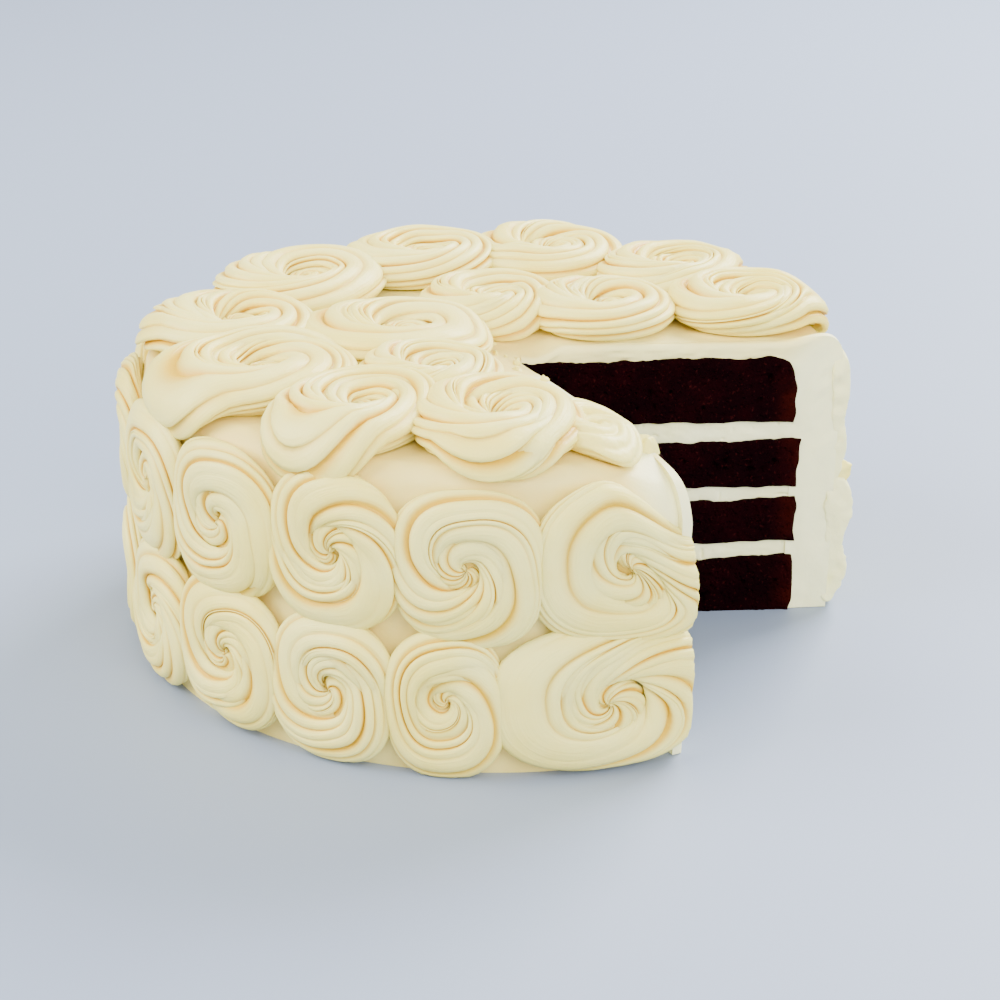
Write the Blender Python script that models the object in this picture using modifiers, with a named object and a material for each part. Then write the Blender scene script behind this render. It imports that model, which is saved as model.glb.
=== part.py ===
"""A layer cake with a slice cut out, covered in piped icing roses.

Four dark sponges and three cream fillings stand in a coat of icing. Two rows of roses run
round its side, and an outer and an inner ring of them cover its top. The origin is the
centre of the round cake on the surface that it rests on, with +Z up. The missing slice
opens between +X and -Y.
"""

import math
from collections.abc import Callable
from dataclasses import dataclass

import bmesh
import bpy
from mathutils import Vector

# Driving dimensions, in metres. The sponges were baked in tins of this radius.
TIN_RADIUS = 0.0975
TOP_SPONGE_RADIUS = 0.0955
TOP_SPONGE_ROUNDING = 0.008
SPONGE_CHAMFER = 0.001
LAYERS = (
    ("sponge_1", 0.0168),
    ("filling_1", 0.0072),
    ("sponge_2", 0.0127),
    ("filling_2", 0.0062),
    ("sponge_3", 0.0137),
    ("filling_3", 0.0082),
    ("sponge_4", 0.0205),
)
COAT_RADIUS = 0.107
COAT_ON_TOP = 0.0053
COAT_ROUNDING = 0.006
GAP = 0.0003
MERGE = 0.00001
ROUND_SEGMENTS = 48
ARC_SEGMENTS = 3

# The slice: its tip, and the directions of its two faces, in degrees from +X.
SLICE_TIP = Vector((0.009, -0.002))
SLICE_FACES = (-63.0, 5.0)
SLICE_LENGTH = 0.4
SLICE_MARGIN = 0.02

# The roses. SECTION goes from the middle over the top and under to the middle of the seat:
# each ring is a share of the rose's reach and a share of its height.
SECTION = (
    (0.0, 0.70),
    (0.20, 0.88),
    (0.40, 0.58),
    (0.68, 1.0),
    (0.95, 0.45),
    (1.0, 0.0),
    (0.5, 0.0),
    (0.0, 0.0),
)
SPOKES = 12
RIDGE = 0.13
TWIST = math.radians(-80.0)
FULLNESS = 1.17

SIDE_SEAT = COAT_RADIUS + 0.0005
SIDE_HEIGHT = 0.008
SIDE_BOTTOM = 0.001
SIDE_TOP = 0.0895
SIDE_ROWS = {"lower": 0.0240, "upper": 0.0645}
# Where each row's roses meet, in degrees. The slice's far face cuts through the last one.
SIDE_JOINTS = {
    "lower": (-58.5, -87.8, -104.0, -122.3, -142.5, -162.5),
    "upper": (-58.5, -82.6, -103.0, -122.5, -143.0, -163.5),
}
SIDE_END = -362.0
SIDE_AT_BACK = 10

TOP_HEIGHT = 0.012
TOP_REACH = 0.104
OUTER_RING = 0.080
# Azimuth in degrees and size of each rose of the outer ring, from the slice clockwise.
OUTER_ROSES = (
    (-58.0, 0.0200),
    (-89.0, 0.0210),
    (-116.0, 0.0185),
    (-146.0, 0.0225),
    (-178.0, 0.0215),
    (-214.0, 0.0250),
    (-251.0, 0.0220),
    (-282.0, 0.0205),
    (-314.0, 0.0185),
    (-339.4, 0.0185),
)
# Distance from the middle, azimuth and size of each rose inside that ring.
INNER_ROSES = (
    (0.041, 34.0, 0.0175),
    (0.027, 92.0, 0.0175),
    (0.030, -170.0, 0.0215),
    (0.046, -113.0, 0.0165),
)


@dataclass(frozen=True)
class Finish:
    """A surface: its name, its linear colour and its roughness."""

    name: str
    colour: tuple
    roughness: float

    def material(self):
        """Returns this finish as a Principled material, made once."""
        made = bpy.data.materials.get(self.name)
        if made is None:
            made = bpy.data.materials.new(self.name)
            made.use_nodes = True
            surface = made.node_tree.nodes["Principled BSDF"]
            surface.inputs["Base Color"].default_value = (*self.colour, 1.0)
            surface.inputs["Roughness"].default_value = self.roughness
            surface.inputs["Metallic"].default_value = 0.0
        return made


SPONGE = Finish("sponge", (0.012, 0.0016, 0.0018), 0.95)
FILLING = Finish("filling", (0.77, 0.74, 0.62), 0.60)
COAT = Finish("coat", (0.79, 0.72, 0.55), 0.50)
ICING = Finish("icing", (0.80, 0.73, 0.53), 0.45)


@dataclass(frozen=True)
class Rose:
    """A piped rose: its name, where its middle is on its seat, and its size.

    cut says whether the knife went through it.
    """

    name: str
    centre: Vector
    size: float
    cut: bool = False


@dataclass(frozen=True)
class Seat:
    """The surface that a group of roses is piped on, laid out flat.

    place turns a flat point and a height over it into the object's space. The surface ends
    at lines, each a normal with its distance from the flat origin, and at a ring's radius.
    """

    place: Callable
    height: float
    lines: tuple = ()
    ring: float | None = None


def polar(radius, degrees):
    """A point at this distance and direction."""
    angle = math.radians(degrees)
    return Vector((radius * math.cos(angle), radius * math.sin(angle)))


def arc(centre, radius, start, end):
    """Points of an arc from one direction to another, both in degrees."""
    steps = range(ARC_SEGMENTS + 1)
    return [centre + polar(radius, start + (end - start) * i / ARC_SEGMENTS) for i in steps]


def add(name, mesh, finish, collection):
    """Adds a bmesh as a named object, and frees it."""
    data = bpy.data.meshes.new(name)
    mesh.to_mesh(data)
    mesh.free()
    if finish:
        data.materials.append(finish.material())
    made = bpy.data.objects.new(name, data)
    collection.objects.link(made)
    return made


def turned(name, profile, finish, collection):
    """Turns a profile of (radius, height) points, which runs down its outer side."""
    mesh = bmesh.new()
    points = [mesh.verts.new((radius, 0.0, height)) for radius, height in profile]
    for upper, lower in zip(points, points[1:]):
        mesh.edges.new((upper, lower))
    made = add(name, mesh, finish, collection)
    screw = made.modifiers.new("turn", "SCREW")
    screw.steps = screw.render_steps = ROUND_SEGMENTS
    screw.use_merge_vertices = True
    screw.merge_threshold = MERGE
    screw.use_smooth_shade = False
    return made


def slice_cutter(collection):
    """The wedge that the slice came out of, as a prism taller than the cake."""
    mesh = bmesh.new()
    corners = [SLICE_TIP, *(SLICE_TIP + polar(SLICE_LENGTH, face) for face in SLICE_FACES)]
    floor = mesh.faces.new([mesh.verts.new((*corner, -SLICE_MARGIN)) for corner in corners])
    raised = bmesh.ops.extrude_face_region(mesh, geom=[floor])["geom"]
    height = sum(layer for _, layer in LAYERS) + 3 * SLICE_MARGIN
    lifted = [part for part in raised if isinstance(part, bmesh.types.BMVert)]
    bmesh.ops.translate(mesh, verts=lifted, vec=(0.0, 0.0, height))
    bmesh.ops.recalc_face_normals(mesh, faces=mesh.faces)
    cutter = add("slice_cutter", mesh, None, collection)
    cutter.hide_render = True
    cutter.display_type = "WIRE"
    return cutter


def cut(made, cutter):
    """Takes the slice out of a piece."""
    boolean = made.modifiers.new("slice", "BOOLEAN")
    boolean.operation = "DIFFERENCE"
    boolean.solver = "EXACT"
    boolean.object = cutter


def layer_profile(name, bottom, top):
    """The turned outline of a sponge or a filling between two heights."""
    if name == LAYERS[-1][0]:
        middle = Vector((TOP_SPONGE_RADIUS - TOP_SPONGE_ROUNDING, top - TOP_SPONGE_ROUNDING))
        upper, radius = arc(middle, TOP_SPONGE_ROUNDING, 90.0, 0.0), TOP_SPONGE_RADIUS
    else:
        upper, radius = [(TIN_RADIUS, top)], TIN_RADIUS
    lower = [(radius, bottom)]
    if name.startswith("sponge"):
        lower = [(radius, bottom + SPONGE_CHAMFER), (radius - SPONGE_CHAMFER, bottom)]
    return [(0.0, top), *upper, *lower, (0.0, bottom)]


def coat_profile(step, top):
    """The outline of the icing coat: a cap and a wall, hollow where the layers stand."""
    outside = top + COAT_ON_TOP
    outer_arc = Vector((COAT_RADIUS - COAT_ROUNDING, outside - COAT_ROUNDING))
    inner_arc = Vector((TOP_SPONGE_RADIUS - TOP_SPONGE_ROUNDING, top - GAP - TOP_SPONGE_ROUNDING))
    wall = TIN_RADIUS + GAP
    return [
        (0.0, outside),
        *arc(outer_arc, COAT_ROUNDING, 90.0, 0.0),
        (COAT_RADIUS, 0.0),
        (wall, 0.0),
        (wall, step),
        (TOP_SPONGE_RADIUS + GAP, step),
        *arc(inner_arc, TOP_SPONGE_ROUNDING + GAP, 0.0, 90.0),
        (0.0, top),
    ]


def crossing(way, normal, distance):
    """How far along a unit way a line lies whose unit normal and distance are given."""
    towards = way.dot(normal)
    return distance / towards if towards > 1e-6 else math.inf


def reach(rose, angle, others, seat):
    """How far a rose spreads in one direction before a neighbour or the seat's edge.

    Neighbours meet at a line that shares the way between them by their sizes.
    """
    way = Vector((math.cos(angle), math.sin(angle)))
    free = rose.size * FULLNESS
    for other in others:
        apart = other.centre - rose.centre
        share = apart.length * rose.size / (rose.size + other.size) - GAP / 2
        free = min(free, crossing(way, apart.normalized(), share))
    for normal, distance in seat.lines:
        free = min(free, crossing(way, normal, distance - normal.dot(rose.centre)))
    if seat.ring:
        along = rose.centre.dot(way)
        inside = along**2 - rose.centre.length_squared + seat.ring**2
        free = min(free, math.sqrt(inside) - along)
    return free


def add_rose(rose, others, seat, collection):
    """Draws a sphere's rings into a swirled rose, and sets it on its seat."""
    mesh = bmesh.new()
    bands = len(SECTION) - 1
    bmesh.ops.create_uvsphere(mesh, u_segments=SPOKES, v_segments=bands, radius=1.0)
    for vert in mesh.verts:
        band = round(math.acos(max(-1.0, min(1.0, vert.co.z))) / math.pi * bands)
        share, rise = SECTION[band]
        spoke = math.atan2(vert.co.y, vert.co.x) % math.tau
        angle = spoke + TWIST * share
        ridge = 1.0 - RIDGE * (round(spoke / math.tau * SPOKES) % 2)
        spread = share * reach(rose, angle, others, seat) if share else 0.0
        where = rose.centre + Vector((math.cos(angle), math.sin(angle))) * spread
        vert.co = seat.place(where, seat.height * rise * ridge)
    bmesh.ops.triangulate(mesh, faces=mesh.faces, quad_method="SHORT_EDGE")
    return add(rose.name, mesh, ICING, collection)


def add_roses(roses, seat, cutter, collection):
    """Pipes a group of roses that press against each other on one seat."""
    for rose in roses:
        others = [other for other in roses if other is not rose]
        made = add_rose(rose, others, seat, collection)
        if rose.cut:
            cut(made, cutter)


def side_roses():
    """Both rows of side roses, each from the slice clockwise round to the slice."""
    roses = []
    for row, height in SIDE_ROWS.items():
        seen = SIDE_JOINTS[row]
        step = (SIDE_END - seen[-1]) / SIDE_AT_BACK
        joints = [*seen, *(seen[-1] + step * i for i in range(1, SIDE_AT_BACK + 1))]
        for number, (start, end) in enumerate(zip(joints, joints[1:]), 1):
            centre = Vector((math.radians((start + end) / 2) * SIDE_SEAT, height))
            size = math.radians((start - end) / 2) * SIDE_SEAT
            at_slice = number in (1, len(joints) - 1)
            roses.append(Rose(f"rose_{row}_{number:02d}", centre, size, at_slice))
    return roses


def top_roses():
    """The outer ring of top roses, whose first one the knife cut, and those inside it."""
    outer = [
        Rose(f"rose_top_outer_{number:02d}", polar(OUTER_RING, azimuth), size, number == 1)
        for number, (azimuth, size) in enumerate(OUTER_ROSES, 1)
    ]
    inner = [
        Rose(f"rose_top_inner_{number:02d}", polar(distance, azimuth), size)
        for number, (distance, azimuth, size) in enumerate(INNER_ROSES, 1)
    ]
    return outer + inner


def side_seat():
    """The coat's side, unrolled: along it in x, up it in y."""

    def place(where, height):
        return (*polar(SIDE_SEAT + height, math.degrees(where.x / SIDE_SEAT)), where.y)

    edges = ((Vector((0.0, -1.0)), -SIDE_BOTTOM), (Vector((0.0, 1.0)), SIDE_TOP))
    return Seat(place, SIDE_HEIGHT, lines=edges)


def top_seat(level):
    """The coat's flat top, at this height."""
    return Seat(lambda where, height: (*where, level + height), TOP_HEIGHT, ring=TOP_REACH)


def main():
    """Builds the cake's layers, its coat and its roses."""
    for old in list(bpy.data.objects):
        bpy.data.objects.remove(old)
    parts = bpy.data.collections.new("layer_cake")
    cutters = bpy.data.collections.new("cutters")
    for collection in (parts, cutters):
        bpy.context.scene.collection.children.link(collection)
    cutter = slice_cutter(cutters)

    bottom = 0.0
    for name, thickness in LAYERS:
        top = bottom + thickness
        seat = bottom + GAP if bottom else 0.0
        finish = SPONGE if name.startswith("sponge") else FILLING
        cut(turned(name, layer_profile(name, seat, top), finish, parts), cutter)
        bottom = top
    sponges_top = bottom + GAP
    step = bottom - LAYERS[-1][1] + GAP
    cut(turned("coat", coat_profile(step, sponges_top), COAT, parts), cutter)

    add_roses(side_roses(), side_seat(), cutter, parts)
    add_roses(top_roses(), top_seat(sponges_top + COAT_ON_TOP + GAP), cutter, parts)


main()
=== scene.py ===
"""The looks of a layer cake with a slice cut out: crumbly sponge, cream and piped icing roses.

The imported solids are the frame. Every solid is replaced by a piece with the real surface:
ropes of icing coiled into roses, torn crumb on the cut faces, and a smoothed coat.
"""

from __future__ import annotations

import logging
import math
from dataclasses import dataclass, field
from enum import Enum

import bpy
import numpy as np
from mathutils import Matrix, Vector

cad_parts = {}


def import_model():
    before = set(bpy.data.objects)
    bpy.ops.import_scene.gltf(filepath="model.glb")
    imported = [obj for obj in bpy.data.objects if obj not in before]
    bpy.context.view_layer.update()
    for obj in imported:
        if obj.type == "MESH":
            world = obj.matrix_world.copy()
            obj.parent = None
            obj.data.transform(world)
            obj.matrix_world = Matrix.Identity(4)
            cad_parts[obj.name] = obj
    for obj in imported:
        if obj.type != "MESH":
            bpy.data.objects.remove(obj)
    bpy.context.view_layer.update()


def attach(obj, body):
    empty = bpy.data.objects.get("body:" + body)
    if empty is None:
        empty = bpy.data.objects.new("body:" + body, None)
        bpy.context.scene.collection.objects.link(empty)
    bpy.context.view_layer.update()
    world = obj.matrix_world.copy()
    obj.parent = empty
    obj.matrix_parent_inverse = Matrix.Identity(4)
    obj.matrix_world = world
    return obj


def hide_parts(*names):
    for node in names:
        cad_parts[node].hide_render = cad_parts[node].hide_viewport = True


LOG = logging.getLogger("layer_cake")
MM = 0.001
BODY = "root"
GRAIN = 0.00036
NEAR_CUT = -63.0
FAR_CUT = 5.0
Colour = tuple[float, float, float]
Socket = bpy.types.NodeSocket


# ---------------------------------------------------------------------------
# Numbers over many points
# ---------------------------------------------------------------------------


def smooth(value: np.ndarray, low: float, high: float) -> np.ndarray:
    """Rises smoothly from 0 at low to 1 at high."""
    share = np.clip((value - low) / (high - low), 0.0, 1.0)
    return share * share * (3.0 - 2.0 * share)


def sway(value: np.ndarray, seed: float) -> np.ndarray:
    """A slow uneven wave between about -1 and 1, different for each seed.

    Args:
        value: where along the wave, in radians.
        seed: picks the pattern.

    Returns:
        The wave's height at each place.
    """
    first = np.sin(value + seed * 1.7)
    second = 0.6 * np.sin(value * 2.3 + seed * 2.9)
    third = 0.4 * np.sin(value * 3.9 + seed * 4.1)
    return (first + second + third) / 1.6


def lattice(corner: np.ndarray, seed: float) -> np.ndarray:
    """A repeatable value from 0 to 1 for each whole-numbered corner of a grid."""
    mixed = corner @ np.array([12.9898, 78.233, 37.719]) + seed * 4.731
    return np.modf(np.abs(np.sin(mixed) * 43758.5453))[0]


def lumps(points: np.ndarray, size: float, seed: float) -> np.ndarray:
    """Smooth lumps in space.

    Args:
        points: places, one row each, in metres.
        size: the size of one lump, in metres.
        seed: picks the pattern.

    Returns:
        A value from -1 to 1 for each place.
    """
    place = points / size
    base = np.floor(place)
    part = place - base
    part = part * part * (3.0 - 2.0 * part)
    total = np.zeros(len(points))
    for corner in np.ndindex(2, 2, 2):
        weight = np.prod(np.where(corner, part, 1.0 - part), axis=1)
        total += weight * lattice(base + np.array(corner), seed)
    return total * 2.0 - 1.0


def direction(degrees: float) -> np.ndarray:
    """The level unit vector at this azimuth."""
    return np.array([math.cos(math.radians(degrees)), math.sin(math.radians(degrees)), 0.0])


# ---------------------------------------------------------------------------
# The bench: short names for work on one piece
# ---------------------------------------------------------------------------


def deselect_all() -> None:
    """Leaves edit mode and deselects every object."""
    if bpy.context.object and bpy.context.object.mode != "OBJECT":
        bpy.ops.object.mode_set(mode="OBJECT")
    bpy.ops.object.select_all(action="DESELECT")


def pick(piece: bpy.types.Object) -> None:
    """Makes one object the only selected and the active one.

    Args:
        piece: the object to work on.
    """
    deselect_all()
    piece.select_set(True)
    bpy.context.view_layer.objects.active = piece


def edit_all(piece: bpy.types.Object) -> None:
    """Opens a piece in edit mode with all of it selected.

    Args:
        piece: the object to work on.
    """
    pick(piece)
    bpy.ops.object.mode_set(mode="EDIT")
    bpy.ops.mesh.select_all(action="SELECT")


def leave_edit() -> None:
    """Goes back to object mode."""
    bpy.ops.object.mode_set(mode="OBJECT")


def apply_modifiers(piece: bpy.types.Object) -> None:
    """Applies all modifiers of a piece in their order.

    Args:
        piece: the object that has the modifiers.
    """
    pick(piece)
    for modifier in list(piece.modifiers):
        bpy.ops.object.modifier_apply(modifier=modifier.name)


def settle(piece: bpy.types.Object) -> None:
    """Puts a piece's place, turn and scale into its mesh."""
    pick(piece)
    bpy.ops.object.transform_apply(location=True, rotation=True, scale=True)


def turn_outwards(piece: bpy.types.Object) -> None:
    """Turns the faces of a closed piece outwards.

    Args:
        piece: the closed object.
    """
    edit_all(piece)
    bpy.ops.mesh.normals_make_consistent(inside=False)
    leave_edit()


def places(piece: bpy.types.Object) -> np.ndarray:
    """The piece's points, one row each.

    Args:
        piece: the object.

    Returns:
        Their coordinates, in metres.
    """
    found = np.empty(len(piece.data.vertices) * 3, np.float32)
    piece.data.vertices.foreach_get("co", found)
    return found.reshape(-1, 3).astype(float)


def put(piece: bpy.types.Object, points: np.ndarray) -> None:
    """Moves the piece's points to these places."""
    piece.data.vertices.foreach_set("co", points.astype(np.float32).ravel())
    piece.data.update()


def mark(piece: bpy.types.Object, name: str, values: np.ndarray) -> None:
    """Stores a number, or three, for each point of a piece, for its material to read.

    Args:
        piece: the object.
        name: the attribute's name.
        values: a number or a row of three for each point.
    """
    if values.ndim == 1:
        layer = piece.data.attributes.new(name, "FLOAT", "POINT")
        layer.data.foreach_set("value", values.astype(np.float32).ravel())
    else:
        layer = piece.data.attributes.new(name, "FLOAT_VECTOR", "POINT")
        layer.data.foreach_set("vector", values.astype(np.float32).ravel())


def copy_of(piece: bpy.types.Object) -> bpy.types.Object:
    """A copy of a piece with its own mesh.

    Args:
        piece: the object to copy.

    Returns:
        The copy.
    """
    made = piece.copy()
    made.data = piece.data.copy()
    bpy.context.scene.collection.objects.link(made)
    return made


def join(pieces: list[bpy.types.Object]) -> bpy.types.Object:
    """Joins pieces into the first one.

    Args:
        pieces: the objects; all but the first are used up.

    Returns:
        The first object, which now holds them all.
    """
    pick(pieces[0])
    for piece in pieces[1:]:
        piece.select_set(True)
    bpy.ops.object.join()
    return pieces[0]


def shade_smooth(piece: bpy.types.Object, degrees: float = 180.0) -> None:
    """Shades a piece smoothly, apart from edges sharper than an angle.

    Args:
        piece: the object.
        degrees: the angle; 180 smooths every edge.
    """
    pick(piece)
    if degrees >= 180.0:
        bpy.ops.object.shade_smooth()
    else:
        bpy.ops.object.shade_smooth_by_angle(angle=math.radians(degrees))


class Slot(Enum):
    """Names for the cake's four kinds of material."""

    SPONGE = "sponge"
    FILLING = "filling"
    COAT = "coat"
    ICING = "icing"


def hand_over(piece: bpy.types.Object, name: str, finish: bpy.types.Material,
              nodes: tuple[str, ...] = ()) -> None:
    """Names a finished piece and gives it its body, finish and the solids it stands for.

    Args:
        piece: the finished object, at the origin.
        name: its name.
        finish: its material.
        nodes: the solids that it replaces.
    """
    piece.name = name
    piece.data.name = name
    piece.data.materials.clear()
    piece.data.materials.append(finish)
    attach(piece, BODY)
    if nodes:
        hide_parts(*nodes)
    LOG.info("%s: %d faces", name, len(piece.data.polygons))


# ---------------------------------------------------------------------------
# Finishes
# ---------------------------------------------------------------------------


@dataclass
class Shader:
    """A shader node tree under construction, with short ways to add and join nodes."""

    tree: bpy.types.NodeTree

    def node(self, kind: str, **settings: object) -> bpy.types.Node:
        """Adds a node of this kind, and sets its properties and its inputs by name.

        Args:
            kind: the node's type name.
            settings: properties, or input values with _ for a space in the input's name.

        Returns:
            The new node.
        """
        made = self.tree.nodes.new(kind)
        for name, value in settings.items():
            if name[0].islower():
                setattr(made, name, value)
            else:
                made.inputs[name.replace("_", " ")].default_value = value
        return made

    def feed(self, given: object, socket: Socket) -> None:
        """Links a socket to an input, or sets the input to a number or colour.

        Args:
            given: a socket, a number or a colour.
            socket: the input.
        """
        if isinstance(given, Socket):
            self.tree.links.new(given, socket)
        elif isinstance(given, tuple):
            socket.default_value = (*given, 1.0)
        else:
            socket.default_value = given

    def coordinates(self) -> Socket:
        """The piece's own coordinates, in metres."""
        return self.node("ShaderNodeTexCoord").outputs["Object"]

    def stored(self, name: str, output: str = "Fac") -> Socket:
        """A value that is stored on the piece's points."""
        return self.node("ShaderNodeAttribute", attribute_name=name).outputs[output]

    def noise(self, where: Socket, scale: float, detail: float = 3.0,
              roughness: float = 0.55) -> Socket:
        """Smooth noise from 0 to 1 at these coordinates.

        Args:
            where: the coordinates.
            scale: how many features there are in a metre.
            detail: how many finer layers are added.
            roughness: how strong the finer layers are.

        Returns:
            The noise's value.
        """
        made = self.node("ShaderNodeTexNoise", Scale=scale, Detail=detail, Roughness=roughness)
        self.feed(where, made.inputs["Vector"])
        return made.outputs["Fac"]

    def span(self, value: Socket, low: float, high: float, to_low: float = 0.0,
             to_high: float = 1.0) -> Socket:
        """Maps a value smoothly from one range to another.

        Args:
            value: the value to map.
            low: where the first range starts.
            high: where the first range ends.
            to_low: where the second range starts.
            to_high: where the second range ends.

        Returns:
            The mapped value.
        """
        made = self.node("ShaderNodeMapRange", interpolation_type="SMOOTHSTEP")
        for index, given in enumerate((value, low, high, to_low, to_high)):
            self.feed(given, made.inputs[index])
        return made.outputs["Result"]

    def maths(self, operation: str, first: object, second: object) -> Socket:
        """The result of a math node on two sockets or numbers.

        Args:
            operation: the math node's operation.
            first: the first socket or number.
            second: the second socket or number.

        Returns:
            The result.
        """
        made = self.node("ShaderNodeMath", operation=operation)
        self.feed(first, made.inputs[0])
        self.feed(second, made.inputs[1])
        return made.outputs["Value"]

    def mix(self, share: object, first: object, second: object) -> Socket:
        """A mix of two colours, each a socket or three numbers.

        Args:
            share: how much of the second colour.
            first: the first colour.
            second: the second colour.

        Returns:
            The mixed colour.
        """
        made = self.node("ShaderNodeMix", data_type="RGBA")
        self.feed(share, made.inputs[0])
        self.feed(first, made.inputs[6])
        self.feed(second, made.inputs[7])
        return made.outputs[2]

    def bump(self, height: Socket, strength: float, distance: float) -> Socket:
        """A normal that stands for this height.

        Args:
            height: the height over the surface.
            strength: how strong the bump is, from 0 to 1.
            distance: the height that 1 stands for, in metres.

        Returns:
            The normal.
        """
        made = self.node("ShaderNodeBump", Strength=strength, Distance=distance)
        self.feed(height, made.inputs["Height"])
        return made.outputs["Normal"]


def new_group(name: str, inputs: dict[str, tuple[str, object]],
              outputs: dict[str, str]) -> tuple[Shader, bpy.types.Node, bpy.types.Node]:
    """Starts a shader node group with named sockets.

    Args:
        name: the group's name.
        inputs: each input's socket kind and first value, by its name.
        outputs: each output's socket kind, by its name.

    Returns:
        The group's shader tree, its input node and its output node.
    """
    group = bpy.data.node_groups.new(name, "ShaderNodeTree")
    for title, (kind, value) in inputs.items():
        made = group.interface.new_socket(title, in_out="INPUT", socket_type=f"NodeSocket{kind}")
        if value is not None:
            made.default_value = value
    for title, kind in outputs.items():
        group.interface.new_socket(title, in_out="OUTPUT", socket_type=f"NodeSocket{kind}")
    shader = Shader(group)
    return shader, shader.node("NodeGroupInput"), shader.node("NodeGroupOutput")


def whipped_group() -> bpy.types.NodeTree:
    """Whipped cream: slow shifts of colour, and fine bubbles and drag marks in its surface.

    Returns:
        The group, with a colour and a height output.
    """
    shader, given, result = new_group(
        "whipped",
        {
            "Place": ("Vector", None),
            "Pale": ("Color", (0.8, 0.75, 0.6, 1.0)),
            "Warm": ("Color", (0.8, 0.7, 0.5, 1.0)),
            "Bubble Size": ("Float", 900.0),
        },
        {"Colour": "Color", "Height": "Float"},
    )
    place = given.outputs["Place"]
    patches = shader.span(shader.noise(place, 38.0, 2.0), 0.35, 0.68)
    colour = shader.mix(patches, given.outputs["Pale"], given.outputs["Warm"])
    bubbles = shader.node("ShaderNodeTexNoise", Detail=4.0, Roughness=0.6)
    shader.feed(place, bubbles.inputs["Vector"])
    shader.feed(given.outputs["Bubble Size"], bubbles.inputs["Scale"])
    swell = shader.noise(place, 160.0, 2.0)
    height = shader.maths("ADD", shader.maths("MULTIPLY", bubbles.outputs["Fac"], 0.35), swell)
    shader.feed(colour, result.inputs["Colour"])
    shader.feed(height, result.inputs["Height"])
    return shader.tree


@dataclass(frozen=True)
class Cream:
    """The finish of whipped icing, in the shade of one part of the cake."""

    name: str
    pale: Colour
    warm: Colour
    # deep: the colour of painted shade, laid into the grooves and round the eye of a piped rose
    deep: Colour | None = None
    fresh: Colour | None = None
    bubble_size: float = 900.0
    roughness: float = 0.5
    strands: float = 0.0

    def make(self, whipped: bpy.types.NodeTree) -> bpy.types.Material:
        """Builds the material.

        Args:
            whipped: the shared group of colour shifts and bubbles.

        Returns:
            The material.
        """
        material = bpy.data.materials.new(self.name)
        material.use_nodes = True
        shader = Shader(material.node_tree)
        principled = material.node_tree.nodes["Principled BSDF"]
        principled.inputs["Roughness"].default_value = self.roughness
        principled.inputs["IOR"].default_value = 1.42
        principled.inputs["Subsurface Weight"].default_value = 0.18
        principled.inputs["Subsurface Radius"].default_value = (1.0, 0.75, 0.4)
        principled.inputs["Subsurface Scale"].default_value = 0.0025
        place = shader.coordinates()
        group = shader.node("ShaderNodeGroup", node_tree=whipped)
        shader.feed(place, group.inputs["Place"])
        shader.feed(self.pale, group.inputs["Pale"])
        shader.feed(self.warm, group.inputs["Warm"])
        shader.feed(self.bubble_size, group.inputs["Bubble Size"])
        colour = group.outputs["Colour"]
        height = group.outputs["Height"]
        if self.deep:
            # painted shade: the deep colour is mixed in along the grooves and round the eye,
            # standing for the shade and the warm bounced light in these hollows
            hollow_shade = shader.span(shader.stored("hollow_shade"), 0.06, 0.80)
            colour = shader.mix(hollow_shade, colour, self.deep)
            strand = shader.noise(shader.stored("lay", "Vector"), 1.0, 2.0)
            height = shader.maths("ADD", height, shader.maths("MULTIPLY", strand, self.strands))
        if self.fresh:
            colour = shader.mix(shader.stored("cut"), colour, self.fresh)
        shader.feed(colour, principled.inputs["Base Color"])
        shader.feed(shader.bump(height, 0.5, 0.0006), principled.inputs["Normal"])
        return material


@dataclass(frozen=True)
class Crumb:
    """The finish of dark, moist, open sponge."""

    name: str = "crumb"
    dark: Colour = (0.0040, 0.0001, 0.0007)
    light: Colour = (0.0078, 0.0002, 0.0009)
    fleck: Colour = (0.024, 0.003, 0.003)
    crust: Colour = (0.024, 0.002, 0.001)
    roughness: float = 0.75

    def make(self) -> bpy.types.Material:
        """Builds the material.

        Returns:
            The material.
        """
        material = bpy.data.materials.new(self.name)
        material.use_nodes = True
        shader = Shader(material.node_tree)
        principled = material.node_tree.nodes["Principled BSDF"]
        principled.inputs["Roughness"].default_value = self.roughness
        principled.inputs["IOR"].default_value = 1.4
        principled.inputs["Specular IOR Level"].default_value = 0.02
        place = shader.coordinates()
        patches = shader.span(shader.noise(place, 90.0, 3.0), 0.35, 0.7)
        colour = shader.mix(patches, self.dark, self.light)
        flecks = shader.span(shader.noise(place, 900.0, 2.0), 0.60, 0.74)
        colour = shader.mix(flecks, colour, self.fleck)
        colour = shader.mix(shader.stored("crust"), colour, self.crust)
        fine = shader.noise(place, 1500.0, 5.0, 0.7)
        pores = shader.node("ShaderNodeTexVoronoi", Scale=700.0)
        shader.feed(place, pores.inputs["Vector"])
        height = shader.maths("ADD", fine, shader.span(pores.outputs["Distance"], 0.0, 0.45))
        shader.feed(colour, principled.inputs["Base Color"])
        shader.feed(shader.bump(height, 0.9, 0.0007), principled.inputs["Normal"])
        return material


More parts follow.
